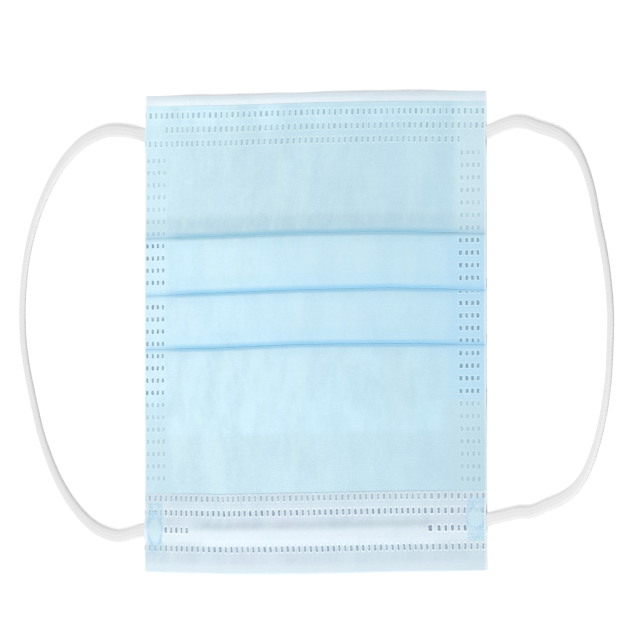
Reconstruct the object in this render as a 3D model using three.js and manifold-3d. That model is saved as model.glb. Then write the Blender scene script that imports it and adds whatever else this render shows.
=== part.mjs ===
// A three-ply pleated face mask with two elastic ear loops. It lies flat and folded, blue side up.
// Millimetres. X runs along the nose edge, +Y points to the chin edge, +Z is up from the surface it lies on.
import * as THREE from 'three';
import { mergeVertices } from 'three/addons/utils/BufferGeometryUtils.js';
import Module from 'manifold-3d';

const wasm = await Module();
wasm.setup();

// Outline of the folded mask: its width, and what shows of the panels past the first and the last fold
const bodyWidth = 175.4;
const nosePanel = 45.9;
const chinPanel = 28.2;

// Cloth: the wall of each layer and the clearance between layers that lie on each other
const clothWall = 1.0;
const layerGap = 0.3;

// Pleats: the folds' free edges point to the chin, and a valley lies between each and the next pleat's tuck
const pleatPitch = 11.15;
const valleyWidth = 2.15;
const creaseReach = 0.9;

// Nose hem: the inner ply turned over the nose edge onto the front, with a wire under it
const hemWidth = 16.2;
const hemReturn = 4.4;
const wireLength = 115;
const wireWidth = 3.0;
const wireThickness = 0.9;
const wireFromEdge = 8.2;
const wireShift = 4.0;
const bulgeReach = 2.5;

// Chin edge: the inner ply shows as a narrow white strip past the blue cloth
const stripShow = 1.6;
const stripLap = 3.2;
const chinBand = 11.0;
const chinRise = 9.0;

// Side bands, where the ends of the pleats are welded together
const sideBand = 10.0;
const weldInset = 0.8;

// Elastic ear loops: a flat woven band, wider than it is thick
const elasticWidth = 2.6;
const elasticThickness = 1.0;
const loopSteps = 34;

// How finely curves are cut
const turnSteps = 5;
const riseSteps = 5;
const lengthSteps = 16;

// How far each line of the mask strays from straight, as shares of the body's height.
// One row for each place along the width, as a share of the width from the middle.
const strayRows = [
  { at: -0.5, nose: 0.003, fold1: -0.0113, fold2: -0.0151, fold3: -0.0108, chin: -0.0093 },
  { at: -0.25, nose: -0.001, fold1: -0.0082, fold2: -0.009, fold3: -0.0066, chin: -0.0073 },
  { at: 0, nose: 0.002, fold1: 0, fold2: -0.0028, fold3: -0.0004, chin: -0.0016 },
  { at: 0.25, nose: 0.006, fold1: 0.0021, fold2: 0.0013, fold3: 0.0017, chin: 0.001 },
  { at: 0.5, nose: 0.009, fold1: 0.001, fold2: -0.0028, fold3: -0.0025, chin: 0.001 },
];
const foldNames = ['fold1', 'fold2', 'fold3'];
// The sides spread a little towards the nose edge, as a share of the width.
const noseSpread = 0.0045;

// Routes of the ear loops on the surface, from the chin corner to the nose corner
const leftRoute = [
  [-78.5, 39.4], [-84.0, 39.7], [-89.3, 40.2], [-95.5, 40.8], [-101.6, 41.1], [-107.8, 41.0],
  [-113.9, 40.2], [-120.1, 38.9], [-126.2, 36.9], [-132.4, 34.1], [-138.6, 30.0], [-143.7, 25.5],
  [-147.8, 20.7], [-150.7, 15.6], [-152.5, 10.0], [-153.2, 4.0], [-152.7, -1.6], [-150.9, -7.0],
  [-147.7, -13.2], [-143.7, -20.0], [-139.4, -25.1], [-134.3, -29.8], [-128.0, -34.0], [-121.0, -37.4],
  [-114.2, -39.7], [-107.8, -40.9], [-101.6, -41.4], [-95.5, -40.9], [-89.3, -40.1], [-84.0, -39.6],
  [-78.5, -39.2],
];
const rightRoute = [
  [78.5, 38.9], [84.0, 39.2], [89.3, 39.7], [95.5, 40.7], [101.6, 41.4], [107.8, 41.2],
  [113.9, 40.3], [120.1, 39.5], [126.2, 38.3], [132.2, 35.8], [136.6, 32.2], [140.1, 27.5],
  [142.8, 21.8], [145.8, 16.0], [147.9, 10.2], [149.1, 3.6], [148.8, -2.8], [147.9, -9.2],
  [145.6, -15.8], [142.2, -21.6], [137.4, -26.8], [131.5, -30.4], [124.5, -32.5], [117.0, -33.8],
  [110.4, -35.0], [103.5, -35.2], [96.5, -35.9], [89.3, -36.6], [83.8, -37.1], [78.5, -37.6],
];

// Places that follow from the sizes
const levelStep = clothWall + layerGap;
const turnRadius = levelStep / 2;
const turnReach = turnRadius + clothWall / 2;
const pleatDepth = pleatPitch - valleyWidth;
const bodyHeight = nosePanel + (foldNames.length - 1) * pleatPitch + chinPanel;
const noseY = -bodyHeight / 2;
const chinY = bodyHeight / 2;
const clothNoseY = noseY + clothWall + layerGap;
const clothChinY = chinY - stripShow;
const hemTopY = noseY + hemWidth;
const wireY = noseY + wireFromEdge;
const foldY = foldNames.map((name, i) => noseY + nosePanel + i * pleatPitch);

// Height of the middle of a layer: level 0 lies on the surface, level 2 is the top of a pleat.
function levelZ(level) {
  return clothWall / 2 + level * levelStep;
}

function smooth(share) {
  const t = THREE.MathUtils.clamp(share, 0, 1);
  return t * t * (3 - 2 * t);
}

// Points of a layer that moves smoothly from one level to another, both ends left out.
function rise(fromY, toY, fromLevel, toLevel) {
  const points = [];
  for (let i = 1; i < riseSteps; i += 1) {
    const share = i / riseSteps;
    const level = fromLevel + (toLevel - fromLevel) * smooth(share);
    points.push(new THREE.Vector2(THREE.MathUtils.lerp(fromY, toY, share), levelZ(level)));
  }
  return points;
}

// Points of a half turn from one level down to a lower one.
// Side 1 turns back towards the chin, side -1 towards the nose.
function halfTurn(centreY, topLevel, bottomLevel, side) {
  const radius = (topLevel - bottomLevel) * levelStep / 2;
  const centreZ = (levelZ(topLevel) + levelZ(bottomLevel)) / 2;
  const points = [];
  for (let i = 0; i <= turnSteps; i += 1) {
    const angle = Math.PI / 2 - Math.PI * i / turnSteps;
    const reach = side * radius * Math.cos(angle);
    points.push(new THREE.Vector2(centreY + reach, centreZ + radius * Math.sin(angle)));
  }
  return points;
}

// A closed outline as wide as the wall, around the middle line of a layer.
function wallShape(line, wall) {
  const upper = [];
  const lower = [];
  line.forEach((point, i) => {
    const before = line[Math.max(i - 1, 0)];
    const after = line[Math.min(i + 1, line.length - 1)];
    const along = after.clone().sub(before).normalize();
    const across = new THREE.Vector2(-along.y, along.x).multiplyScalar(wall / 2);
    upper.push(point.clone().add(across));
    lower.push(point.clone().sub(across));
  });
  return new THREE.Shape([...lower, ...upper.reverse()]);
}

// How far each line strays at a place along the width, from the nose edge to the chin edge.
function strayAt(x) {
  const place = THREE.MathUtils.clamp(x / bodyWidth, strayRows[0].at, strayRows.at(-1).at);
  const next = Math.max(strayRows.findIndex((row) => row.at >= place), 1);
  const before = strayRows[next - 1];
  const after = strayRows[next];
  const share = (place - before.at) / (after.at - before.at);
  const names = ['nose', ...foldNames, 'chin'];
  return names.map((name) => THREE.MathUtils.lerp(before[name], after[name], share) * bodyHeight);
}

// Moves a piece from the straight layout to the mask's real lines.
function settle(geometry, lift = () => 0) {
  const lines = [noseY, ...foldY, chinY];
  const position = geometry.attributes.position;
  for (let i = 0; i < position.count; i += 1) {
    const x = position.getX(i);
    const y = position.getY(i);
    const z = position.getZ(i);
    const stray = strayAt(x);
    const next = THREE.MathUtils.clamp(lines.findIndex((line) => line >= y), 1, lines.length - 1);
    const share = THREE.MathUtils.clamp((y - lines[next - 1]) / (lines[next] - lines[next - 1]), 0, 1);
    const spread = 1 - noseSpread * y / bodyHeight;
    const drift = THREE.MathUtils.lerp(stray[next - 1], stray[next], share);
    position.setXYZ(i, x * spread, y + drift, z + lift(x, y, z));
  }
  return geometry;
}

// Runs a YZ outline along X, centred on the mask.
function runAcross(shape, width) {
  const geometry = new THREE.ExtrudeGeometry(shape, {
    depth: width, steps: lengthSteps, bevelEnabled: false,
  });
  geometry.rotateX(Math.PI / 2);
  geometry.rotateZ(Math.PI / 2);
  geometry.translate(-width / 2, 0, 0);
  return geometry;
}

function toSolid(geometry) {
  const bare = geometry.clone();
  bare.deleteAttribute('normal');
  bare.deleteAttribute('uv');
  const merged = mergeVertices(bare);
  const vertProperties = new Float32Array(merged.attributes.position.array);
  const triVerts = new Uint32Array(merged.index.array);
  return new wasm.Manifold(new wasm.Mesh({ numProp: 3, vertProperties, triVerts }));
}

function toGeometry(solid) {
  const { numProp, vertProperties, triVerts } = solid.getMesh();
  const position = [];
  for (let i = 0; i < vertProperties.length; i += numProp) {
    position.push(vertProperties[i], vertProperties[i + 1], vertProperties[i + 2]);
  }
  const geometry = new THREE.BufferGeometry();
  geometry.setAttribute('position', new THREE.Float32BufferAttribute(position, 3));
  geometry.setIndex(Array.from(triVerts));
  geometry.computeVertexNormals();
  return geometry;
}

// The blue cloth in section, from the nose edge to the chin edge, folded back and forth at each pleat
function bodyLine() {
  const firstTuck = foldY[0] - pleatDepth;
  const line = [
    new THREE.Vector2(clothNoseY, levelZ(1)),
    new THREE.Vector2(hemTopY, levelZ(1)),
    ...rise(hemTopY, firstTuck, 1, 2),
    new THREE.Vector2(firstTuck, levelZ(2)),
  ];
  foldY.forEach((fold, i) => {
    const tuck = fold - pleatDepth;
    line.push(...halfTurn(fold - turnReach, 2, 1, 1));
    line.push(...halfTurn(tuck + turnReach, 1, 0, -1));
    if (i < foldY.length - 1) {
      const riseFrom = fold - creaseReach;
      const riseTo = foldY[i + 1] - pleatDepth + creaseReach;
      line.push(new THREE.Vector2(riseFrom, levelZ(0)), ...rise(riseFrom, riseTo, 0, 2));
      line.push(new THREE.Vector2(riseTo, levelZ(2)));
    }
  });
  const bandY = chinY - chinBand;
  line.push(new THREE.Vector2(bandY - chinRise, levelZ(0)), ...rise(bandY - chinRise, bandY, 0, 1));
  line.push(new THREE.Vector2(bandY, levelZ(1)), new THREE.Vector2(clothChinY, levelZ(1)));
  return line;
}

// A block that fills the gaps of one pleat's end, inside the faces of its three layers
function weldBlock(fold, side) {
  const length = sideBand - weldInset;
  const width = pleatDepth - clothWall;
  const height = 2 * levelStep;
  const block = new THREE.BoxGeometry(length, width, height);
  block.translate(side * (bodyWidth / 2 - weldInset - length / 2), fold - pleatDepth / 2, levelZ(1));
  return settle(block);
}

function pleatedBody() {
  let body = toSolid(settle(runAcross(wallShape(bodyLine(), clothWall), bodyWidth)));
  for (const side of [-1, 1]) {
    for (const fold of foldY) {
      body = body.add(toSolid(weldBlock(fold, side)));
    }
  }
  return toGeometry(body);
}

// The hem's front flap rises over the wire and falls again past its edges, and one step past its ends.
function overWire(x, y, z) {
  const stepLength = bodyWidth / lengthSteps;
  const pastEnd = Math.abs(x - wireShift) - wireLength / 2 - stepLength;
  const pastEdge = Math.abs(y - wireY) - wireWidth / 2 - layerGap;
  const onFlap = z > levelZ(2) - clothWall ? 1 : 0;
  const share = smooth(1 - pastEnd / stepLength) * smooth(1 - pastEdge / bulgeReach);
  return onFlap * share * (wireThickness + layerGap);
}

function noseHem() {
  const flapEnd = new THREE.Vector2(hemTopY, levelZ(2));
  const crest = [];
  for (const reach of [bulgeReach, bulgeReach / 2, 0]) {
    crest.push(new THREE.Vector2(wireY + wireWidth / 2 + layerGap + reach, levelZ(2)));
  }
  for (const reach of [0, bulgeReach / 2, bulgeReach]) {
    crest.push(new THREE.Vector2(wireY - wireWidth / 2 - layerGap - reach, levelZ(2)));
  }
  const turn = halfTurn(noseY + levelStep + clothWall / 2, 2, 0, -1);
  const returnEnd = new THREE.Vector2(noseY + hemReturn, levelZ(0));
  const shape = wallShape([flapEnd, ...crest, ...turn, returnEnd], clothWall);
  return settle(runAcross(shape, bodyWidth), overWire);
}

function noseWire() {
  const half = wireWidth / 2;
  const straight = wireLength / 2 - half;
  const outline = new THREE.Shape();
  outline.absarc(straight, 0, half, -Math.PI / 2, Math.PI / 2, false);
  outline.absarc(-straight, 0, half, Math.PI / 2, 3 * Math.PI / 2, false);
  const geometry = new THREE.ExtrudeGeometry(outline, {
    depth: wireThickness, bevelEnabled: false, curveSegments: turnSteps,
  });
  geometry.translate(wireShift, wireY, levelZ(1) + clothWall / 2 + layerGap);
  return settle(geometry);
}

function chinEdge() {
  const shape = new THREE.Shape([
    new THREE.Vector2(clothChinY - stripLap, 0),
    new THREE.Vector2(chinY, 0),
    new THREE.Vector2(chinY, clothWall),
    new THREE.Vector2(clothChinY - stripLap, clothWall),
  ]);
  return settle(runAcross(shape, bodyWidth));
}

// The band's section: thickness along its first axis, width along its second, with eight sides
function elasticShape() {
  const flat = 0.6;
  const corners = [
    [1, flat], [flat, 1], [-flat, 1], [-1, flat],
    [-1, -flat], [-flat, -1], [flat, -1], [1, -flat],
  ];
  return new THREE.Shape(corners.map(
    ([up, out]) => new THREE.Vector2(up * elasticThickness / 2, out * elasticWidth / 2),
  ));
}

function earLoop(route) {
  const points = route.map(([x, y]) => new THREE.Vector3(x, y, elasticThickness / 2));
  const extrudePath = new THREE.CatmullRomCurve3(points);
  return new THREE.ExtrudeGeometry(elasticShape(), { extrudePath, steps: loopSteps, bevelEnabled: false });
}

function matt(color, roughness) {
  return new THREE.MeshStandardMaterial({ color, roughness, metalness: 0 });
}

function piece(name, geometry, material) {
  const mesh = new THREE.Mesh(geometry, material);
  mesh.name = name;
  return mesh;
}

const mask = new THREE.Group();
mask.name = 'surgical_face_mask';
mask.add(piece('pleated_body', pleatedBody(), matt(0xc6e7f5, 0.9)));
mask.add(piece('nose_hem', noseHem(), matt(0xdbeaf1, 0.9)));
mask.add(piece('nose_wire', noseWire(), matt(0xf0f0ee, 0.5)));
mask.add(piece('chin_edge', chinEdge(), matt(0xe4ebf0, 0.9)));
mask.add(piece('ear_loop_left', earLoop(leftRoute), matt(0xf3f3f3, 0.8)));
mask.add(piece('ear_loop_right', earLoop(rightRoute), matt(0xf3f3f3, 0.8)));

export default mask;
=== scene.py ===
import math

import bpy
import numpy as np
from mathutils import Matrix, Vector


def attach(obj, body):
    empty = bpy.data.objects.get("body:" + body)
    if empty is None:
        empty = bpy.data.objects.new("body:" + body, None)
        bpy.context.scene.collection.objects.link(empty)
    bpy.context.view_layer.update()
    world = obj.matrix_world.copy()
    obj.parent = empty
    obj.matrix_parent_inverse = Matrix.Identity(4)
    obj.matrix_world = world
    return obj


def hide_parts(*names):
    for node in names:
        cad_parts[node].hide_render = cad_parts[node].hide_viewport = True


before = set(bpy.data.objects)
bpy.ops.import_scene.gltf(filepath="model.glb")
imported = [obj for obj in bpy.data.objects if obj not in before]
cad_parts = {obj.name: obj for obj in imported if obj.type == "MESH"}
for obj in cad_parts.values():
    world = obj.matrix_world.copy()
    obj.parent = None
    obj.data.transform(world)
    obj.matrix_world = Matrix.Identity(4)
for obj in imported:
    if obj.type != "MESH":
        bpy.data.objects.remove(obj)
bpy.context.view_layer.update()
mm = 0.001  # sizes below are in millimetres, and meshes are made in metres
sharpAngle = math.radians(50)  # edges that turn by more than this stay sharp


# The photograph is squeezed sideways: a pixel is 0.513 mm of mask across and 0.200 mm upright.
# From the right end of the mask, low over the surface, its width is foreshortened by the same share.
cameraSet = {
    "pixels": 640,
    "acrossPerPixel": 0.5132,
    "uprightPerPixel": 0.1996,
    "lookAt": (4.5, 2.6, 0.5),
    "lens": 1500.0,
    "sensor": 36.0,
    "sightEnd": 100.0,  # in metres; the camera stands some 5 m away
}


def placeCamera():
    squeeze = cameraSet["uprightPerPixel"] / cameraSet["acrossPerPixel"]
    sideways = math.sqrt(1 - squeeze ** 2)
    reach = cameraSet["pixels"] * cameraSet["uprightPerPixel"] * cameraSet["lens"] / cameraSet["sensor"]
    right = Vector((squeeze, 0, -sideways))
    up = Vector((0, 1, 0))
    back = Vector((sideways, 0, squeeze))
    bpy.ops.object.camera_add()
    camera = bpy.context.object
    camera.name = "camera"
    camera.data.lens = cameraSet["lens"]
    camera.data.sensor_width = cameraSet["sensor"]
    camera.data.clip_end = cameraSet["sightEnd"]
    place = (Vector(cameraSet["lookAt"]) + back * reach) * mm
    camera.matrix_world = Matrix.Translation(place) @ Matrix((right, up, back)).transposed().to_4x4()
    bpy.context.scene.camera = camera


placeCamera()
print("camera placed")


# Shader maths: Wire stands for a socket in a sum, and Finish is one material and makes its nodes.
class Wire:
    def __init__(self, finish, socket):
        self.finish = finish
        self.socket = socket

    def maths(self, operation, *values):
        return self.finish.node("ShaderNodeMath", {"operation": operation}, dict(enumerate(values)))

    def __add__(self, other):
        return self.maths("ADD", self, other)

    def __radd__(self, other):
        return self.maths("ADD", other, self)

    def __sub__(self, other):
        return self.maths("SUBTRACT", self, other)

    def __rsub__(self, other):
        return self.maths("SUBTRACT", other, self)

    def __mul__(self, other):
        return self.maths("MULTIPLY", self, other)

    def __rmul__(self, other):
        return self.maths("MULTIPLY", other, self)

    def __truediv__(self, other):
        return self.maths("DIVIDE", self, other)

    def __pow__(self, other):
        return self.maths("POWER", self, other)

    def __abs__(self):
        return self.maths("ABSOLUTE", self)

    def least(self, other):
        return self.maths("MINIMUM", self, other)

    def most(self, other):
        return self.maths("MAXIMUM", self, other)

    def wrapped(self, period):
        return self.maths("WRAP", self, period / 2, -period / 2)

    def whole(self):
        return self.maths("ROUND", self)

    def wave(self):
        return self.maths("SINE", self)

    def fade(self, low, high):  # 0 below low, 1 above high, smooth between
        values = {"Value": self, 1: low, 2: high, 3: 0.0, 4: 1.0}
        return self.finish.node("ShaderNodeMapRange", {"interpolation_type": "SMOOTHSTEP"}, values)

    def inside(self, low, high, soft):  # 1 between low and high, with soft ends
        return self.fade(low - soft, low + soft) * (1 - self.fade(high - soft, high + soft))


class Finish:
    def __init__(self, name):
        self.material = bpy.data.materials.new(name)
        self.material.use_nodes = True
        self.tree = self.material.node_tree
        self.tree.nodes.clear()

    def node(self, kind, settings=None, values=None, out=0):
        made = self.tree.nodes.new(kind)
        for name, value in (settings or {}).items():
            setattr(made, name, value)
        for name, value in (values or {}).items():
            if isinstance(value, Wire):
                self.tree.links.new(value.socket, made.inputs[name])
            else:
                made.inputs[name].default_value = value
        return Wire(self, made.outputs[out]) if len(made.outputs) else None

    def attribute(self, name):
        return self.node("ShaderNodeAttribute", {"attribute_name": name}, out="Vector")

    def place(self):
        return self.node("ShaderNodeTexCoord", {}, out="Object")

    def split(self, vector):
        return [self.node("ShaderNodeSeparateXYZ", {}, {0: vector}, out=i) for i in range(3)]

    def stretched(self, vector, turn, scale):
        values = {"Vector": vector, "Rotation": (0, 0, math.radians(turn)), "Scale": scale}
        return self.node("ShaderNodeMapping", {}, values)

    def noise(self, vector, size, detail=2.0, rough=0.5, distortion=0.0):
        values = {
            "Vector": vector, "Scale": 1 / size, "Detail": detail, "Roughness": rough,
            "Distortion": distortion,
        }
        return self.node("ShaderNodeTexNoise", {}, values)

    def chance(self, first, second):
        pair = self.node("ShaderNodeCombineXYZ", {}, {0: first, 1: second})
        return self.node("ShaderNodeTexWhiteNoise", {"noise_dimensions": "2D"}, {"Vector": pair})

    def blend(self, share, first, second):
        return self.node("ShaderNodeMix", {"data_type": "RGBA"}, {0: share, 6: first, 7: second}, out=2)

    def bump(self, height, distance, strength=1.0):
        values = {"Height": height, "Distance": distance, "Strength": strength}
        return self.node("ShaderNodeBump", {}, values)

    def close(self, values):
        shader = self.node("ShaderNodeBsdfPrincipled", {}, values)
        self.node("ShaderNodeOutputMaterial", {}, {"Surface": shader})
        return self.material


def colour(red, green, blue):  # a screen colour, 0 to 255, as the shaders want it
    shares = [value / 255 for value in (red, green, blue)]
    linear = [c / 12.92 if c <= 0.04045 else ((c + 0.055) / 1.055) ** 2.4 for c in shares]
    return (*linear, 1.0)


def smooth(low, high, value):  # 0 at low, 1 at high, also where high is the smaller of the two
    t = np.clip((value - low) / (high - low), 0, 1)
    return t * t * (3 - 2 * t)


def newPiece(name, points, faces, material, attributes):
    mesh = bpy.data.meshes.new(name)
    mesh.from_pydata([tuple(p) for p in np.asarray(points) * mm], [], faces)
    for label, values in attributes.items():
        layer = mesh.attributes.new(label, "FLOAT_VECTOR", "POINT")
        layer.data.foreach_set("vector", np.asarray(values, dtype=np.float32).ravel())
    mesh.materials.append(material)
    mesh.validate()
    mesh.update()
    mesh.polygons.foreach_set("use_smooth", [True] * len(mesh.polygons))
    piece = bpy.data.objects.new(name, mesh)
    bpy.context.scene.collection.objects.link(piece)
    bpy.ops.object.select_all(action="DESELECT")
    bpy.context.view_layer.objects.active = piece
    piece.select_set(True)
    bpy.ops.object.shade_smooth_by_angle(angle=sharpAngle)
    return piece


# The ear loops: a limp elastic band lies on the surface on each side, along the same route as its solid.
loopSet = {
    "width": 2.5,
    "thickness": 0.6,
    "pressedWidth": 2.8,  # its ends are pressed flat under the corners of the mask
    "pressedThickness": 0.14,
    "flatFrom": 87.5,
    "roundFrom": 92.5,
    "leavesAt": 87.8,  # where the band comes out from under the mask
    "fineStep": 0.04,  # of the way from one point of the route to the next
    "ringStep": 0.7,
    "sides": 18,
    "squareness": 0.7,
    "sag": 1.8,  # its flat side rests on the surface
    "left": [
        (-78.5, 39.4), (-84.0, 39.7), (-89.3, 40.2), (-95.5, 40.8), (-101.6, 41.1), (-107.8, 41.0),
        (-113.9, 40.2), (-120.1, 38.9), (-126.2, 36.9), (-132.4, 34.1), (-138.6, 30.0), (-143.7, 25.5),
        (-147.8, 20.7), (-150.7, 15.6), (-152.5, 10.0), (-153.2, 4.0), (-152.7, -1.6), (-150.9, -7.0),
        (-147.7, -13.2), (-143.7, -20.0), (-139.4, -25.1), (-134.3, -29.8), (-128.0, -34.0), (-121.0, -37.4),
        (-114.2, -39.7), (-107.8, -40.9), (-101.6, -41.4), (-95.5, -40.9), (-89.3, -40.1), (-84.0, -39.6),
        (-78.5, -39.2),
    ],
    "right": [
        (78.5, 38.9), (84.0, 39.2), (89.3, 39.7), (95.5, 40.7), (101.6, 41.4), (107.8, 41.2),
        (113.9, 40.3), (120.1, 39.5), (126.2, 38.3), (132.2, 35.8), (136.6, 32.2), (140.1, 27.5),
        (142.8, 21.8), (145.8, 16.0), (147.9, 10.2), (149.1, 3.6), (148.8, -2.8), (147.9, -9.2),
        (145.6, -15.8), (142.2, -21.6), (137.4, -26.8), (131.5, -30.4), (124.5, -32.5), (117.0, -33.8),
        (110.4, -35.0), (103.5, -35.2), (96.5, -35.9), (89.3, -36.6), (83.8, -37.1), (78.5, -37.6),
    ],
}


knitLook = {
    "ribs": 9.0,  # radians of the pattern in a millimetre
    "stitches": 7.5,
    "slant": 4.0,  # the stitches lean this much from the band's middle to its edges
    "fuzzSize": 0.3,
    "patchSize": 6.0,
    "relief": 0.04,
    "sheen": 0.25,
    "low": colour(217, 217, 218),
    "high": colour(227, 227, 227),
    "patch": colour(223, 220, 220),
}


def elasticFinish():
    finish = Finish("white elastic")
    along, across, _ = finish.split(finish.attribute("knit"))
    rib = (across * knitLook["ribs"]).wave() * 0.5 + 0.5
    stitch = (along * knitLook["stitches"] + abs(across) * knitLook["slant"]).wave() * 0.5 + 0.5
    fuzz = finish.noise(finish.place(), knitLook["fuzzSize"] * mm, 4.0, 0.7)
    knit = rib * 0.45 + stitch * 0.4 + fuzz * 0.5
    soft = finish.noise(finish.place(), knitLook["patchSize"] * mm, 2.0)
    base = finish.blend(knit.fade(0.2, 0.95), knitLook["low"], knitLook["high"])
    base = finish.blend(soft.fade(0.3, 0.75) * 0.4, base, knitLook["patch"])
    normal = finish.bump(knit, knitLook["relief"] * mm, 0.6)
    rough = 0.82 + fuzz * 0.14
    return finish.close({
        "Base Color": base, "Roughness": rough, "Normal": normal,
        "Specular IOR Level": 0.2, "Sheen Weight": knitLook["sheen"], "Sheen Roughness": 0.5,
    })


def throughPoints(route, step):  # a smooth line through the points, in even steps
    points = np.array([route[0], *route, route[-1]], dtype=float)
    fine = []
    for a, b, c, d in zip(points, points[1:], points[2:], points[3:]):
        for t in np.arange(0, 1, loopSet["fineStep"]):
            fine.append(0.5 * (2 * b + (c - a) * t + (2 * a - 5 * b + 4 * c - d) * t ** 2
                               + (3 * b - a - 3 * c + d) * t ** 3))
    fine = np.array(fine + [points[-1]])
    length = np.concatenate([[0], np.cumsum(np.hypot(*np.diff(fine, axis=0).T))])
    places = np.linspace(0, length[-1], int(round(length[-1] / step)) + 1)
    return np.stack([np.interp(places, length, fine[:, i]) for i in range(2)], 1), places


def makeLoop(name, route, node, material):
    centres, places = throughPoints(route, loopSet["ringStep"])
    along = np.gradient(centres, axis=0)
    along /= np.hypot(*along.T)[:, None]
    pressed = 1 - smooth(loopSet["flatFrom"], loopSet["roundFrom"], abs(centres[:, 0]))
    halfWidth = (loopSet["width"] + (loopSet["pressedWidth"] - loopSet["width"]) * pressed) / 2
    halfHeight = (loopSet["thickness"] + (loopSet["pressedThickness"] - loopSet["thickness"]) * pressed) / 2
    angles = np.arange(loopSet["sides"]) * 2 * math.pi / loopSet["sides"]
    out = np.sign(np.cos(angles)) * abs(np.cos(angles)) ** loopSet["squareness"]
    high = np.sign(np.sin(angles)) * abs(np.sin(angles)) ** loopSet["squareness"]
    points, knit = [], []
    for centre, way, wide, tall, place in zip(centres, along, halfWidth, halfHeight, places):
        for o, h in zip(out, high):
            z = 2 * tall * ((1 + h) / 2) ** loopSet["sag"]
            points.append((centre[0] - way[1] * o * wide, centre[1] + way[0] * o * wide, z))
            knit.append((place, o * wide, h))
    sides, rings = loopSet["sides"], len(centres)
    faces = []
    for i in range(rings - 1):
        for j in range(sides):
            a, b = i * sides + j, i * sides + (j + 1) % sides
            faces.append((a, a + sides, b + sides, b))
    faces.append(tuple(range(sides)))
    faces.append(tuple(reversed(range((rings - 1) * sides, rings * sides))))
    piece = newPiece(name, points, faces, material, {"knit": knit})
    path = [(x * mm, y * mm, z * mm) for (x, y), z in zip(centres, halfHeight)]
    side = math.copysign(1, route[0][0])
    atEdge = min(path[: rings // 2], key=lambda p: abs(p[0] * side - loopSet["leavesAt"] * mm))
    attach(piece, "root")
    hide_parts(node)


elastic = elasticFinish()
makeLoop("earLoopLeft", loopSet["left"], "ear_loop_left", elastic)
makeLoop("earLoopRight", loopSet["right"], "ear_loop_right", elastic)
print("ear loops laid")


# The cloth in section: the same panels, pleats and hem as the solids, with the real cloth's thin layers.
cloth = {
    "width": 175.4,
    "nosePanel": 45.9,
    "chinPanel": 28.2,
    "pleats": 3,
    "pleatPitch": 11.15,
    "valley": 2.15,  # from a fold to the tuck of the next pleat
    "crease": 0.9,  # the cloth reaches its upper level this far past a tuck
    "foot": [  # the next cloth beside a fold: how far past its edge, and which level it has there
        (-0.45, 0), (-0.24, 0.15), (-0.05, 0.42), (0.1, 0.7), (0.19, 0.95), (0.3, 1.15), (0.5, 1.36),
        (1.0, 1.62), (1.6, 1.8), (2.3, 1.94), (3.05, 2.0),
    ],
    "lastFoot": [
        (-0.45, 0), (-0.24, 0.15), (-0.05, 0.42), (0.1, 0.7), (0.19, 0.9), (0.35, 1.02), (0.7, 1.08),
        (1.5, 1.0), (3.0, 0.74), (5.5, 0.34), (8.5, 0.08), (11.0, 0),
    ],
    "hemWidth": 16.2,
    "hemTurn": 0.355,  # from the nose edge to the middle of the hem's turn
    "blueBack": 0.62,  # the blue ply ends this far inside the hem's turn
    "stripShow": 2.05,  # white that shows past the blue at the chin
    "ply": 0.22,
    "plyGap": 0.01,
    "flapGap": 0.04,  # between the hem and the blue ply under it
    "layerStep": 0.49,  # from one layer of a pleat to the next
    "rest": 0.01,  # the lowest ply stands this far off the surface
    "noseRise": 12.0,  # length over which the nose panel climbs onto its pleat
    "stationStep": 1.5,
    "lineStep": 1.4,
    "turnSteps": 8,
    "flatSteps": 3,  # the least steps of a level stretch, and of a climbing one
    "climbSteps": 10,
    "flapSteps": 27,
    "stripSteps": 3,
    "thinSteps": (0, 0.25, 0.5, 0.75, 1.0),  # short steps where a ply thins out towards its edge
    "rimRows": (0.4, 0.8),  # extra rows of points this far inside the side edges
    "faceApart": 40.0,  # keeps the fibre pattern of the two faces apart
    "puff": 0.8,  # how much the pleats swell in the middle of the mask
    "pressed": 0.2,  # what is left of their height in the side bands
    "rimPress": 0.5,  # the welded side edges are thinner still
    "rimWidth": 1.2,
    "bandFrom": 58.0,  # the pressing of the side bands grows between these places
    "bandTo": 80.0,
    "endLift": 0.16,  # the corners lie on the pressed ends of the ear loops
    "endAcross": (72, 79),
    "endUpright": (2.9, 1.25),
    "ends": [(-1, 39.9), (-1, -39.7), (1, 39.2), (1, -37.3)],  # which side, and how far up
    "thinEnd": 0.04,  # half of a ply's thickness along its welded edge
    "noseSpread": 0.0045,  # the sides spread a little towards the nose edge
    "crown": 2.0,  # the pleats keep the middle of the mask a little off the surface
    "crownAcross": (15, 85),
    "crownUpright": (14, 47),
    "calmAcross": (55, 84),  # where the cloth's sway dies away towards the welded edges
    "calmUpright": (36, 46),
    "calmShare": 0.6,
    "sway": [  # height, wave's length across and upright, start
        (0.30, 97.0, 61.0, 0.4), (0.20, 43.0, 88.0, 2.1), (0.10, 23.0, 37.0, 4.4),
    ],
}
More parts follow.
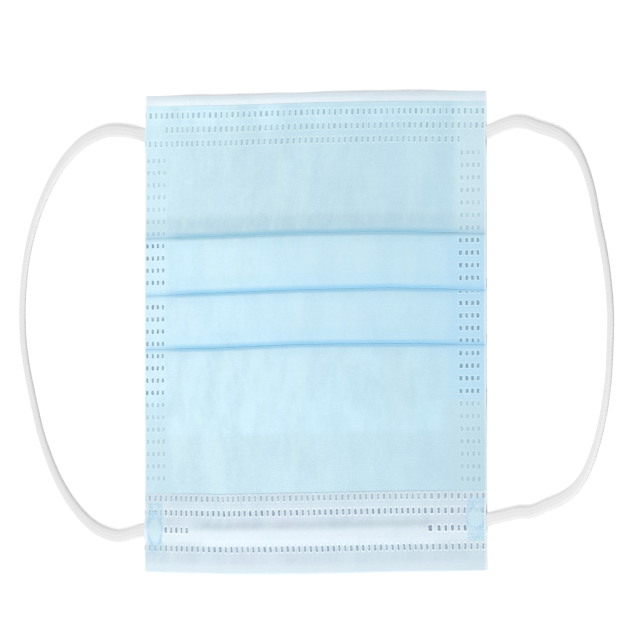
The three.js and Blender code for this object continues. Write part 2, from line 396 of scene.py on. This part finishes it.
# How far each line strays from straight, as shares of the height, at places along the width
strays = {
    "at": (-0.5, -0.25, 0, 0.25, 0.5),
    "nose": (-0.0025, -0.0042, 0.001, 0.0092, 0.016),
    "fold1": (-0.0113, -0.0082, 0, 0.0021, 0.001),
    "fold2": (-0.0145, -0.0087, -0.0028, 0.001, -0.0034),
    "fold3": (-0.0093, -0.0059, -0.0004, 0.001, -0.004),
    "chin": (-0.0025, -0.0038, -0.0016, -0.0022, -0.0055),
}
wireSet = {
    "length": 115.0,
    "width": 2.2,
    "thickness": 0.55,
    "fromEdge": 7.9,
    "shift": 4.0,  # its middle lies this far right of the mask's
    "slope": 1.7,  # how far the flap takes to come down beside it
    "endRamp": (3.4, 0.4),  # and past its ends
    "play": 0.05,  # room above the wire
    "fill": 0.92,  # the wire's share of the height under the flap
    "seat": 0.02,  # it lies this far below the level flap
    "step": 5.0,
    "rounding": 0.2,
    "roundSteps": 3,
}

height = cloth["nosePanel"] + (cloth["pleats"] - 1) * cloth["pleatPitch"] + cloth["chinPanel"]
noseY, chinY = -height / 2, height / 2
hemTopY = noseY + cloth["hemWidth"]
hemTurnY = noseY + cloth["hemTurn"]
blueNoseY = noseY + cloth["blueBack"]
blueChinY = chinY - cloth["stripShow"]
wireY = noseY + wireSet["fromEdge"]
foldYs = [noseY + cloth["nosePanel"] + i * cloth["pleatPitch"] for i in range(cloth["pleats"])]
pleatDepth = cloth["pleatPitch"] - cloth["valley"]
turnRadius = cloth["layerStep"] / 2
turnReach = turnRadius + cloth["ply"] + cloth["plyGap"] / 2
plyShift = (cloth["ply"] + cloth["plyGap"]) / 2
flapZ = cloth["rest"] + 2.5 * cloth["ply"] + cloth["plyGap"] + cloth["flapGap"]
thinReach = cloth["thinSteps"][-1]


def layerZ(level):  # middle of the cloth: level 0 lies on the surface, level 2 is the top of a pleat
    return cloth["rest"] + cloth["ply"] + cloth["plyGap"] / 2 + level * cloth["layerStep"]


def run(fromY, toY, fromLevel, toLevel):  # points of a stretch, its end left out
    count = max(cloth["flatSteps"], int(round(abs(toY - fromY) / cloth["lineStep"])))
    if fromLevel != toLevel:
        count = max(cloth["climbSteps"], count)
    shares = np.arange(count) / count
    levels = fromLevel + (toLevel - fromLevel) * smooth(0, 1, shares)
    return [(fromY + (toY - fromY) * s, layerZ(level)) for s, level in zip(shares, levels)]


def halfTurn(centreY, highZ, lowZ, side):  # from high to low, round the side towards the chin or the nose
    radius, centreZ = (highZ - lowZ) / 2, (highZ + lowZ) / 2
    turns = [math.pi / 2 - math.pi * i / cloth["turnSteps"] for i in range(cloth["turnSteps"] + 1)]
    return [(centreY + side * radius * math.cos(t), centreZ + radius * math.sin(t)) for t in turns]


def clothLine():  # the middle of the cloth, from the nose edge over all pleats to the chin edge
    firstTuck = foldYs[0] - pleatDepth
    riseFrom = firstTuck - cloth["noseRise"]
    line = run(blueNoseY, hemTopY, 0, 0) + run(hemTopY, riseFrom, 0, 0) + run(riseFrom, firstTuck, 0, 2)
    for i, fold in enumerate(foldYs):
        tuck = fold - pleatDepth
        start = tuck if i == 0 else tuck + cloth["crease"]
        line += run(start, fold - turnReach, 2, 2)
        line += halfTurn(fold - turnReach, layerZ(2), layerZ(1), 1)
        line += run(fold - turnReach, tuck + turnReach, 1, 1)[1:]
        line += halfTurn(tuck + turnReach, layerZ(1), layerZ(0), -1)
        foot = cloth["foot"] if i < len(foldYs) - 1 else cloth["lastFoot"]
        line += run(tuck + turnReach, fold + foot[0][0], 0, 0)[1:]
        line += [(fold + past, layerZ(level)) for past, level in foot[:-1]]
    line += run(foldYs[-1] + foot[-1][0], blueChinY - thinReach, 0, 0)
    return np.array(line + [(blueChinY - back, layerZ(0)) for back in reversed(cloth["thinSteps"])])


def normalsOf(line):
    along = np.gradient(line, axis=0)
    along /= np.hypot(*along.T)[:, None]
    return np.stack([-along[:, 1], along[:, 0]], 1)


def pressAt(x):  # share of its height that the folded cloth keeps, less in the welded bands
    share = smooth(cloth["bandFrom"], cloth["bandTo"], abs(x))
    press = cloth["puff"] + (cloth["pressed"] - cloth["puff"]) * share
    edgeX = cloth["width"] / 2
    return press * (1 - cloth["rimPress"] * smooth(edgeX - cloth["rimWidth"], edgeX, abs(x)))


def liftAt(x, y):  # how far the whole mask stands off the surface
    calm = 1 - smooth(*cloth["calmAcross"], abs(x))
    calm = calm * (1 - cloth["calmShare"] * smooth(*cloth["calmUpright"], abs(y)))
    total = 0
    for tall, lengthX, lengthY, start in cloth["sway"]:
        total = total + tall * (0.5 + 0.5 * np.sin(2 * math.pi * (x / lengthX + y / lengthY) + start))
    crownX, crownY = 1 - smooth(*cloth["crownAcross"], abs(x)), 1 - smooth(*cloth["crownUpright"], abs(y))
    total = total * calm + cloth["crown"] * crownX * crownY
    for side, endY in cloth["ends"]:
        near = smooth(*cloth["endAcross"], x * side) * smooth(*cloth["endUpright"], abs(y - endY))
        total = total + cloth["endLift"] * near
    return total


def flapLiftAt(x, y):  # the hem's bulge over the wire
    halfLength, halfWidth = wireSet["length"] / 2, wireSet["width"] / 2
    rampFrom, rampTo = wireSet["endRamp"]
    ends = smooth(halfLength + rampFrom, halfLength + rampTo, abs(x - wireSet["shift"]))
    edges = smooth(halfWidth + wireSet["slope"], halfWidth, abs(y - wireY))
    return (wireSet["thickness"] + wireSet["play"]) * ends * edges


def settled(x, y):  # moves a point with the strays of the lines above and below it
    lines = np.array([noseY, *foldYs, chinY])
    names = ["nose", *[f"fold{i + 1}" for i in range(cloth["pleats"])], "chin"]
    places = np.array(strays["at"]) * cloth["width"]
    drifts = np.array([np.interp(x, places, strays[name]) * height for name in names])
    spot = np.clip(np.searchsorted(lines, y), 1, len(lines) - 1)
    share = np.clip((y - lines[spot - 1]) / (lines[spot] - lines[spot - 1]), 0, 1)
    at = np.arange(len(x))
    drift = drifts[spot - 1, at] * (1 - share) + drifts[spot, at] * share
    return x * (1 - cloth["noseSpread"] * y / height), y + drift


def sheetPiece(name, line, flapCount, thinStart, material):  # a ply: its section swept from side to side
    stations = np.linspace(-1, 1, int(cloth["width"] / cloth["stationStep"]) + 1) * cloth["width"] / 2
    rims = [side * (cloth["width"] / 2 - back) for side in (-1, 1) for back in cloth["rimRows"]]
    stations = np.sort(np.concatenate([stations, rims]))
    normals = normalsOf(line)
    places = np.concatenate([[0], np.cumsum(np.hypot(*np.diff(line, axis=0).T))])
    fromStart = smooth(0, thinReach, places) if thinStart else np.ones(len(places))
    firm = np.minimum(fromStart, smooth(0, thinReach, places[-1] - places))
    half = cloth["thinEnd"] + (cloth["ply"] / 2 - cloth["thinEnd"]) * firm
    sunk = line - np.stack([np.zeros(len(line)), cloth["ply"] / 2 - half], 1)
    points, flat, thread = [], [], []
    for side in (1, -1):
        face = sunk + normals * side * half[:, None]
        for x in stations:
            y, z = line[:, 0], face[:, 1].copy()
            xs = np.full(len(y), x)
            lifted = z * pressAt(xs) + liftAt(xs, y)
            lifted[:flapCount] += flapLiftAt(xs[:flapCount], y[:flapCount])
            movedX, movedY = settled(xs, face[:, 0])
            points.append(np.stack([movedX, movedY, lifted], 1))
            flat.append(np.stack([xs, face[:, 0], np.full(len(y), side)], 1))
            thread.append(np.stack([xs, places, np.full(len(y), side * cloth["faceApart"])], 1))
    points, flat, thread = (np.concatenate(values) for values in (points, flat, thread))
    count, across = len(line), len(stations)
    lower = count * across
    faces = []
    for i in range(across - 1):
        for j in range(count - 1):
            a, b = i * count + j, (i + 1) * count + j
            faces.append((a, b, b + 1, a + 1))
            faces.append((lower + a, lower + a + 1, lower + b + 1, lower + b))
    for i in range(across - 1):
        a, b = i * count, (i + 1) * count
        faces.append((a, lower + a, lower + b, b))
        a, b = a + count - 1, b + count - 1
        faces.append((a, b, lower + b, lower + a))
    for j in range(count - 1):
        faces.append((j, j + 1, lower + j + 1, lower + j))
        a = (across - 1) * count + j
        faces.append((a, lower + a, lower + a + 1, a + 1))
    return newPiece(name, points, faces, material, {"flat": flat, "thread": thread}), places[-1]


body = clothLine()
outerLine = body + normalsOf(body) * plyShift
underLine = body - normalsOf(body) * plyShift
stripLine = [(y, underLine[-1][1]) for y in np.linspace(blueChinY, chinY, cloth["stripSteps"] + 1)[1:]]
flapYs = [hemTopY - back for back in cloth["thinSteps"][:-1]]
flapYs += list(np.linspace(hemTopY - thinReach, hemTurnY, cloth["flapSteps"] + 1)[:-1])
flapLine = [(y, flapZ) for y in flapYs]
turnLine = halfTurn(hemTurnY, flapZ, underLine[0][1], -1)
returnLine = [(y, underLine[0][1]) for y in np.linspace(hemTurnY, underLine[0][0], 3)[1:-1]]
innerLine = np.array([*flapLine, *turnLine, *returnLine, *underLine, *stripLine])
flapCount = len(flapLine)


# Weld marks: rows along the hem and the chin edge, and columns down both side bands
marks = {
    "pitch": 2.949,  # along the rows
    "firstColumn": -84.9,
    "rows": [  # height, from and to across, strength
        (44.3, -90, 90, 0.62), (41.5, -77.0, 90, 0.52), (38.7, -90, 76.5, 0.48),
        (-32.95, -90, 90, 0.6), (-35.9, -90, 90, 0.95),
        (-39.45, -77.0, -63.5, 1.0), (-39.45, 61.5, 78.0, 1.0), (-43.2, -90, 90, 0.85),
    ],
    "halfSize": (0.60, 0.54),
    "rowReach": (1.25, 1.3),  # a row's marks fade out between these distances from its line
    "rowCell": 1.3,  # marks in one cell share their chance
    "waist": 0.55,  # some marks are narrower at half height, by up to this share
    "wobbleSize": 0.8,
    "rowWobble": (0.35, 0.3),  # how uneven the outlines are, across and upright
    "sideColumns": (-86.0, -83.1, -80.3, -77.4, 75.9, 78.6, 81.3, 84.0),
    "sidePitch": 2.475,
    "sideFirst": 35.3,
    "sideTilt": 0.005,  # the right column's marks lie higher than the left one's
    "sideFrom": -30.2,
    "sideTo": 36.4,
    "firmFrom": -13.0,  # the side marks are firm between these heights and faint beyond
    "firmTo": 19.2,
    "faint": 0.4,  # what is left of the faint ones
    "foldGap": (0.35, 0.6),  # no mark lies across a fold
    "sideHalfSize": (0.62, 0.39),
    "sideReach": (1.3, 1.35),
    "sideWobble": (0.6, 0.4),
    "sideWaist": 0.5,
    "sideHalo": 0.5,
    "depth": 0.16,
    "halo": 0.03,  # the cloth is pushed up a little round a mark
}
knurling = 4.4  # radians of the pattern in a millimetre
# Centre and half sizes of each pressed oval, and how far its knurled patches reach up and down
welds = [
    {"at": (-81.9, -39.5), "half": (4.0, 3.2), "up": 2.4, "down": 1.5},
    {"at": (82.6, -37.3), "half": (4.4, 2.4), "up": 1.5, "down": 2.4},
]


def markShape(across, upright, half, waist):  # distance from a mark's middle, 1 on its squared outline
    high = abs(upright) / half[1]
    wide = 1 - (1 - high.least(1.0)) * waist
    return ((abs(across) / half[0] / wide) ** 5.0 + high ** 5.0) ** 0.2


def weldMarks(finish, u, v):  # how dark the marks are, and the painted highlight on the cloth pushed up round them
    column = ((u - marks["firstColumn"]) / marks["pitch"]).whole()
    cell = (v / marks["rowCell"]).whole()
    du = (u - marks["firstColumn"]).wrapped(marks["pitch"])
    dv = abs(v - marks["rows"][0][0])
    weight = 0
    for at, start, end, strength in marks["rows"]:
        away = abs(v - at)
        dv = dv.least(away)
        here = (1 - away.fade(*marks["rowReach"])) * u.inside(start, end, 0.05)
        weight = here * strength + weight
    waist = finish.chance(column + 40, cell + 80).fade(0.25, 0.8) * marks["waist"]
    wobble = finish.noise(finish.attribute("thread"), marks["wobbleSize"], 2.0, 0.6) - 0.5
    wideWobble, highWobble = marks["rowWobble"]
    rowAway = markShape(du + wobble * wideWobble, dv + wobble * highWobble, marks["halfSize"], waist)

    sideAway = abs(u - marks["sideColumns"][0])
    for at in marks["sideColumns"][1:]:
        sideAway = sideAway.least(abs(u - at))
    upright = finish.split(finish.place())[1] / mm
    sideV = upright - u * marks["sideTilt"]
    dvSide = (sideV - marks["sideFirst"]).wrapped(marks["sidePitch"])
    wideWobble, highWobble = marks["sideWobble"]
    duSide, dvSide = sideAway + wobble * wideWobble, dvSide + wobble * highWobble
    sideShape = markShape(duSide, dvSide, marks["sideHalfSize"], waist * marks["sideWaist"])
    firmFrom, firmTo = marks["firmFrom"], marks["firmTo"]
    firm = v.fade(firmFrom - 1.5, firmFrom + 1.5) * (1 - v.fade(firmTo, firmTo + 1))
    firm = firm * (1 - marks["faint"]) + marks["faint"]
    sideHere = v.inside(marks["sideFrom"], marks["sideTo"], 0.05)
    sideHere = sideHere * (1 - sideAway.fade(*marks["sideReach"])) * firm
    for fold in foldYs:
        sideHere = sideHere * abs(v - fold - 0.1).fade(*marks["foldGap"])

    depth = finish.chance(column + 5, cell + 9) * 0.3 + 0.78
    hollow = finish.chance(column + 11, cell + 27).fade(0.3, 0.7) * 0.3
    ringRow = 1 - (1 - rowAway.fade(0.2, 0.55)) * hollow
    ringSide = 1 - (1 - sideShape.fade(0.15, 0.5)) * hollow * 0.5
    dark = (1 - rowAway.fade(0.82, 1.12)) * ringRow * weight
    dark = dark.most((1 - sideShape.fade(0.8, 1.15)) * ringSide * sideHere) * depth
    spark = finish.noise(finish.attribute("thread"), 0.9, 2.0, 0.7).fade(0.3, 0.6) * 0.6 + 0.4
    halo = rowAway.fade(0.95, 1.25) * (1 - rowAway.fade(1.35, 1.9)) * weight * spark
    sideHalo = sideShape.fade(0.95, 1.3) * (1 - sideShape.fade(1.4, 2.0)) * sideHere * spark
    return dark, halo.most(sideHalo * marks["sideHalo"])


def weldSpots(finish, u, v):  # the corner welds: raised ring, middle, knurled patches and their pattern
    ring, middle, patch = 0, 0, 0
    for weld in welds:
        a, b = u - weld["at"][0], v - weld["at"][1]
        away = ((a / weld["half"][0]) ** 2.0 + (b / weld["half"][1]) ** 2.0) ** 0.5
        ring = away.inside(0.78, 1.05, 0.12) + ring
        middle = (1 - away.fade(0.75, 0.95)) + middle
        reach = b.inside(-weld["half"][1] - weld["down"], weld["half"][1] + weld["up"], 0.5)
        wide = 1 - abs(a).fade(weld["half"][0] * 0.8, weld["half"][0] * 1.1)
        patch = reach * wide * away.fade(0.9, 1.1) + patch
    knurl = ((u * knurling).wave() * (v * knurling).wave()).fade(-0.35, 0.45) * 2 - 1
    uneven = finish.noise(finish.attribute("thread"), 2.2, 3.0, 0.6).fade(0.32, 0.62)
    return ring * (uneven * 0.8 + 0.2), middle, patch * (uneven * 0.5 + 0.5), knurl


# The nonwoven cloth of both plies: uneven patches, matted fibres and a grid of bonding points
fleece = {
    "cloudSize": 9.0,
    "tintSize": 21.0,
    "milkSize": 13.0,
    "mottleSize": 1.6,
    "fibreTurns": (24, -38),  # two crossing ways of the fibres, in degrees
    "bondPitch": (1.5, 1.3),  # the points at which the fibres are fused
    "bondHalf": (0.34, 0.24),
    "rimFade": (86.3, 87.6),  # the pale side edges, partly the pale cut edge and partly painted light on the shaded side walls: a soft part and a narrow one
    "rimEdge": (87.5, 87.7),
    "farFade": (-70, 95),  # the cloth darkens a little towards the right
    "paleShare": 0.22,
    "fibreShare": 0.3,
    "bondShare": 0.05,
    "foldShadeShare": 0.66,
    "hazeShare": 0.1,  # a faint painted shade on both sides of a fold
    "glowShare": 0.75,
    "haloShare": 0.7,
    "darkShare": 0.9,
    "feltRelief": 0.04,
    "mottleRelief": 0.10,
    "bondRelief": 0.02,
    "ringRelief": 0.14,
    "middleRelief": 0.05,
    "knurlRelief": 0.07,
    "sheen": 0.12,
}


def bondAway(u, s, shift):  # distance from the nearest point of one of the two grids
    pitchU, pitchS = fleece["bondPitch"]
    halfU, halfS = fleece["bondHalf"]
    across = (u + pitchU * shift).wrapped(pitchU) / halfU
    along = (s + pitchS * shift).wrapped(pitchS) / halfS
    return (across ** 2.0 + along ** 2.0) ** 0.5


def nonwoven(name, look):
    finish = Finish(name)
    u, v, _ = finish.split(finish.attribute("flat"))
    thread = finish.attribute("thread")
    cloudy = finish.noise(thread, fleece["cloudSize"], 3.0, 0.6)
    tint = finish.noise(thread, fleece["tintSize"], 2.0, 0.5)
    milky = finish.noise(finish.stretched(thread, 8, (1.0, 0.55, 1)), fleece["milkSize"], 3.0, 0.6)
    mottle = finish.noise(thread, fleece["mottleSize"], 3.0, 0.65, 0.4)
    oneWay, otherWay = fleece["fibreTurns"]
    fibres = finish.noise(finish.stretched(thread, oneWay, (0.35, 4.2, 1)), 1.0, 3.0, 0.7, 0.6)
    crossed = finish.noise(finish.stretched(thread, otherWay, (0.4, 4.6, 1)), 1.0, 3.0, 0.7, 0.6)
    felt = fibres.most(crossed)
    s = finish.split(thread)[1]
    bond = 1 - bondAway(u, s, 0).least(bondAway(u, s, 0.5)).fade(0.7, 1.25)
    dark, halo = weldMarks(finish, u, v)
    ring, middle, patch, knurl = weldSpots(finish, u, v)
    markShare = 1 - (middle + patch + ring).least(1.0) * 0.75
    dark, halo = dark * markShare, halo * markShare

    base = finish.blend(cloudy.fade(0.3, 0.7), look["deep"], look["light"])
    base = finish.blend(tint.fade(0.42, 0.72) * look["tintShare"], base, look["tint"])
    for low, high, share, shade in look["bands"]:
        base = finish.blend(v.inside(low, high, 0.9) * share, base, shade)
    base = finish.blend(milky.fade(0.45, 0.7) * look["milkShare"], base, look["milk"])
    base = finish.blend(mottle.fade(0.35, 0.75) * fleece["paleShare"], base, look["pale"])
    base = finish.blend(felt.fade(0.45, 0.8) * fleece["fibreShare"], base, look["fibre"])
    base = finish.blend(bond * fleece["bondShare"], base, look["bond"])
    base = finish.blend(u.fade(*fleece["farFade"]) * look["farShare"], base, look["far"])
    for fromU, toU, fromV, toV, share, shade in look["patches"]:
        base = finish.blend(u.inside(fromU, toU, 2.0) * v.inside(fromV, toV, 2.2) * share, base, shade)
    # Beside each fold: painted shade along the fold line and faintly on both sides of it, partly the deeper
    # blue where more layers lie on one another; then painted light through the cloth where it turns
    for fold, shade in zip(foldYs, look["folds"]):
        past = v - fold
        near = (1 - past.fade(0.1, 1.3)) * past.fade(-0.95, -0.15)
        edge = near * fleece["foldShadeShare"] + past.inside(-2.0, 3.0, 1.3) * fleece["hazeShare"]
        base = finish.blend(edge * (1 - abs(u).fade(64, 78) * 0.45), base, shade)
        glow = past.inside(-0.2, 0.25, 0.12) * u.inside(-70, 68, 8)
        base = finish.blend(glow * fleece["glowShare"], base, look["glow"])
    base = finish.blend(patch * (knurl * 0.3 + 0.6), base, look["weld"])
    base = finish.blend(middle * 0.6, base, look["weldMiddle"])
    base = finish.blend(ring * 0.75, base, look["weldRing"])
    # pale side edges: partly the cut edge's own colour, partly painted light on the shaded side walls
    rim = abs(u).fade(*fleece["rimFade"]) * 0.5 + abs(u).fade(*fleece["rimEdge"]) * 0.45
    base = finish.blend(rim, base, look["rim"])
    # painted highlight on the cloth pushed up round each mark
    base = finish.blend(halo * fleece["haloShare"], base, look["halo"])
    base = finish.blend(dark * fleece["darkShare"], base, look["mark"])

    relief = felt * fleece["feltRelief"] + mottle * fleece["mottleRelief"] - bond * fleece["bondRelief"]
    relief = relief + halo * marks["halo"] - dark * marks["depth"]
    relief = relief - ring * fleece["ringRelief"] - middle * fleece["middleRelief"]
    relief = relief + knurl * patch * fleece["knurlRelief"]
    normal = finish.bump(relief * mm, 1.0)
    rough = 0.86 + felt * 0.1 - dark * 0.22 - ring * 0.2
    return finish.close({
        "Base Color": base, "Roughness": rough, "Normal": normal,
        "Specular IOR Level": 0.25, "Sheen Weight": fleece["sheen"], "Sheen Roughness": 0.6,
    })


outerLook = {
    "deep": colour(188, 221, 234),
    "light": colour(203, 235, 248),
    "tint": colour(196, 222, 246),
    "tintShare": 0.4,
    "milk": colour(211, 237, 239),
    "milkShare": 0.4,
    "pale": colour(213, 241, 250),
    "fibre": colour(213, 241, 250),
    "bond": colour(172, 210, 226),
    "far": colour(166, 202, 218),
    "farShare": 0.5,
    # painted shade along each fold, partly the deeper blue of the stacked layers; the last one greyer
    "folds": [colour(116, 188, 226), colour(116, 188, 226), colour(124, 182, 206)],
    "glow": colour(186, 236, 255),  # light that comes through the cloth where it turns
    "bands": [  # from and to upright, share, colour
        (-1.5, 19.4, 0.5, colour(194, 230, 246)),
        (20.6, 42.0, 0.5, colour(184, 214, 225)),
        # painted shade on the chin panel just past the last fold
        (20.4, 24.0, 0.35, colour(158, 190, 204)),
        (-36.0, -20.0, 0.5, colour(188, 213, 223)),
    ],
    "patches": [  # from and to across, from and to upright, share, colour
        (-89.0, -75.5, -12.5, 47.0, 0.28, colour(213, 241, 250)),
        (-89.0, -72.0, -32.0, -13.5, 0.3, colour(190, 220, 230)),
        (72.5, 89.0, 20.5, 47.0, 0.35, colour(214, 230, 234)),
        (70.5, 89.0, -13.5, 19.0, 0.42, colour(166, 210, 238)),
        (70.0, 89.0, -32.0, -13.5, 0.45, colour(184, 210, 219)),
    ],
    "weld": colour(172, 222, 242),
    "weldMiddle": colour(190, 226, 232),
    "weldRing": colour(160, 212, 242),
    "rim": colour(230, 239, 242),
    "halo": colour(232, 251, 255),
    "mark": colour(102, 148, 168),
}
innerLook = {
    "deep": colour(190, 210, 221),
    "light": colour(205, 223, 232),
    "tint": colour(204, 212, 228),
    "tintShare": 0.6,
    "milk": colour(212, 228, 234),
    "milkShare": 0.4,
    "pale": colour(216, 231, 239),
    "fibre": colour(213, 230, 238),
    "bond": colour(182, 200, 212),
    "far": colour(184, 202, 214),
    "farShare": 0.35,
    "folds": [],  # its folds don't show
    "bands": [
        (-34.1, -31.5, 0.3, colour(186, 213, 225)),
        (-35.4, -34.3, 0.5, colour(214, 232, 240)),
        # painted highlight on the hem's bulge over the nose wire
        (-42.3, -39.4, 0.85, colour(229, 240, 247)),
        (-44.6, -42.9, 0.4, colour(186, 209, 224)),
        (-49.0, -46.3, 0.7, colour(220, 234, 242)),
        # painted highlight along the white strip beside the blue, and painted shade along its outer edge, in
        # place of its roll
        (45.0, 47.6, 0.8, colour(238, 247, 252)),
        (47.6, 49.5, 0.7, colour(213, 220, 226)),
    ],
    "patches": [],
    "weld": colour(168, 218, 240),
    "weldMiddle": colour(189, 223, 231),
    "weldRing": colour(156, 208, 240),
    "rim": colour(236, 240, 242),
    "halo": colour(240, 250, 254),
    "mark": colour(104, 140, 158),
}

outerFinish = nonwoven("blue outer ply", outerLook)
outerPly, outerLength = sheetPiece("outerPly", outerLine, 0, False, outerFinish)
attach(outerPly, "root")
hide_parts("pleated_body")
print("outer ply folded", len(outerPly.data.polygons), "faces", round(outerLength, 1), "mm long")

innerFinish = nonwoven("white inner ply", innerLook)
innerPly, innerLength = sheetPiece("innerPly", innerLine, flapCount, True, innerFinish)
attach(innerPly, "root")
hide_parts("nose_hem", "chin_edge")
print("inner ply folded", len(innerPly.data.polygons), "faces", round(innerLength, 1), "mm long")


def wireFinish():
    finish = Finish("coated wire")
    scuffs = finish.noise(finish.stretched(finish.place(), 0, (0.2, 3, 3)), 0.002, 4.0, 0.6)
    base = finish.blend(scuffs.fade(0.35, 0.7), colour(226, 226, 222), colour(240, 240, 238))
    return finish.close({
        "Base Color": base, "Roughness": 0.4 + scuffs * 0.2,
        "Normal": finish.bump(scuffs, 0.00005, 0.5), "Specular IOR Level": 0.4,
    })


def makeWire():  # a strip's end face, drawn out step by step so that it follows the hem
    bpy.ops.object.select_all(action="DESELECT")
    low = flapZ - cloth["ply"] / 2 - wireSet["seat"]
    tall = wireSet["thickness"] * wireSet["fill"]
    centreZ = low * cloth["puff"] + tall / 2
    start = wireSet["shift"] - wireSet["length"] / 2
    bpy.ops.mesh.primitive_plane_add(size=1, rotation=(0, math.pi / 2, 0),
                                     location=Vector((start, wireY, centreZ)) * mm)
    wire = bpy.context.object
    wire.name = wire.data.name = "noseWire"
    wire.scale = (tall * mm, wireSet["width"] * mm, 1)
    bpy.ops.object.transform_apply(location=True, rotation=True, scale=True)
    bpy.ops.object.mode_set(mode="EDIT")
    for _ in range(int(wireSet["length"] / wireSet["step"])):
        bpy.ops.mesh.extrude_region_move(TRANSFORM_OT_translate={"value": (wireSet["step"] * mm, 0, 0)})
    bpy.ops.mesh.select_all(action="SELECT")
    bpy.ops.mesh.normals_make_consistent(inside=False)
    bpy.ops.object.mode_set(mode="OBJECT")
    bevel = wire.modifiers.new("rounding", "BEVEL")
    bevel.width = wireSet["rounding"] * mm
    bevel.segments = wireSet["roundSteps"]
    bpy.ops.object.modifier_apply(modifier="rounding")
    for vertex in wire.data.vertices:
        x, y = np.array([vertex.co.x / mm]), np.array([vertex.co.y / mm])
        vertex.co.z += liftAt(x, y)[0] * mm
        x, y = settled(x, y)
        vertex.co.x, vertex.co.y = x[0] * mm, y[0] * mm
    bpy.ops.object.shade_smooth()
    wire.data.materials.append(wireFinish())
    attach(wire, "root")
    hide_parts("nose_wire")


makeWire()
print("nose wire in place")


# The room: a pale floor, pale air and one broad lamp from the nose side
room = {  # in metres
    "floorSize": 12.0,
    "floorZ": -0.00002,
    "floorLow": colour(252, 252, 252),
    "floorHigh": colour(254, 254, 254),
    "air": 0.87,
    "lampPlace": (0.35, -1.7, 1.35),
    "lampSize": 0.9,
    "lampPower": 17.0,
}


def makeRoom():
    bpy.ops.mesh.primitive_plane_add(size=room["floorSize"], location=(0, 0, room["floorZ"]))
    floor = bpy.context.object
    floor.name = "floor"
    finish = Finish("pale floor")
    base = finish.blend(finish.noise(finish.place(), 0.4, 2.0), room["floorLow"], room["floorHigh"])
    paleFloor = finish.close({"Base Color": base, "Roughness": 0.9, "Specular IOR Level": 0.1})
    floor.data.materials.append(paleFloor)
    world = bpy.data.worlds.new("pale air")
    world.use_nodes = True
    air = world.node_tree.nodes["Background"]
    air.inputs["Color"].default_value = (1, 1, 1, 1)
    air.inputs["Strength"].default_value = room["air"]
    bpy.context.scene.world = world
    bpy.ops.object.light_add(type="AREA", location=room["lampPlace"])
    lamp = bpy.context.object
    lamp.name = "lamp"
    lamp.data.size = room["lampSize"]
    lamp.data.energy = room["lampPower"]
    lamp.rotation_euler = (-Vector(room["lampPlace"])).to_track_quat("-Z", "Y").to_euler()
    bpy.context.scene.view_settings.view_transform = "Standard"


makeRoom()
print("room lit")
